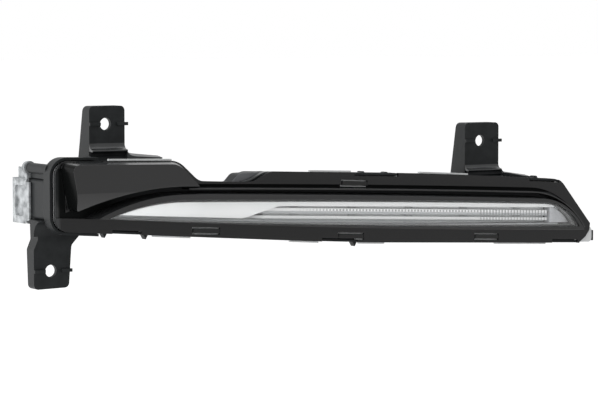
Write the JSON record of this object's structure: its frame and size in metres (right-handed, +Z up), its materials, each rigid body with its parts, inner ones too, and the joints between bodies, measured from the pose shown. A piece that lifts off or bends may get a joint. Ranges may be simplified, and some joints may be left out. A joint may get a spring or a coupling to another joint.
{
  "type": "vehicle indicator lamp",
  "caption": "Slim bumper indicator lamp: black housing with screw lugs, gloss black surround, clear lens over light guides, bright blade and a finned heat sink.",
  "frame": {"origin": "centre of the upper left screw hole, on the front face of its lug", "axes": "+Z up, the lamp shines towards -Y, +X along its length from the heat sink end"},
  "size_m": [0.412, 0.0695, 0.1096],
  "materials": {
    "housing_black": "fine grained moulded, matte",
    "surround_black": "gloss moulded",
    "lens_clear": "clear, polished",
    "seal_rubber": "smooth",
    "frame_dark": "satin",
    "screw_steel": "zinc plated",
    "guide_clear": "clear with prisms",
    "reflector_grey": "satin metallised",
    "blade_bright": "satin bright metallised",
    "clip_plastic": "moulded",
    "board_green": "solder resist",
    "led_yellow": "phosphor",
    "pad_grey": "soft",
    "cast_aluminium": "rough die-cast",
    "parts_black": "moulded",
    "lead_film": "film",
    "pin_brass": "tin flash",
    "membrane_white": "felted film",
    "cap_rubber": "matte"
  },
  "bodies": {
    "root": {"housing": "housing_black", "black_surround": "surround_black", "outer_lens": "lens_clear", "lens_seal": "seal_rubber", "inner_frame": "frame_dark", "frame_screws": "screw_steel", "upper_light_guide": "guide_clear", "lower_light_guide": "guide_clear", "fluted_reflector": "reflector_grey", "blade_reflector": "blade_bright", "end_reflector": "reflector_grey", "guide_clips": "clip_plastic", "led_board": "board_green", "guide_leds": "led_yellow", "thermal_pad": "pad_grey", "led_board_screws": "screw_steel", "heat_sink_gasket": "seal_rubber", "heat_sink": "cast_aluminium", "heat_sink_screws": "screw_steel", "driver_board": "board_green", "driver_board_screws": "screw_steel", "driver_parts": "parts_black", "board_lead": "lead_film", "connector_socket": "housing_black", "connector_pins": "pin_brass", "connector_seal": "seal_rubber", "vent_membrane": "membrane_white", "vent_cap": "cap_rubber"}
  },
  "joints": []
}
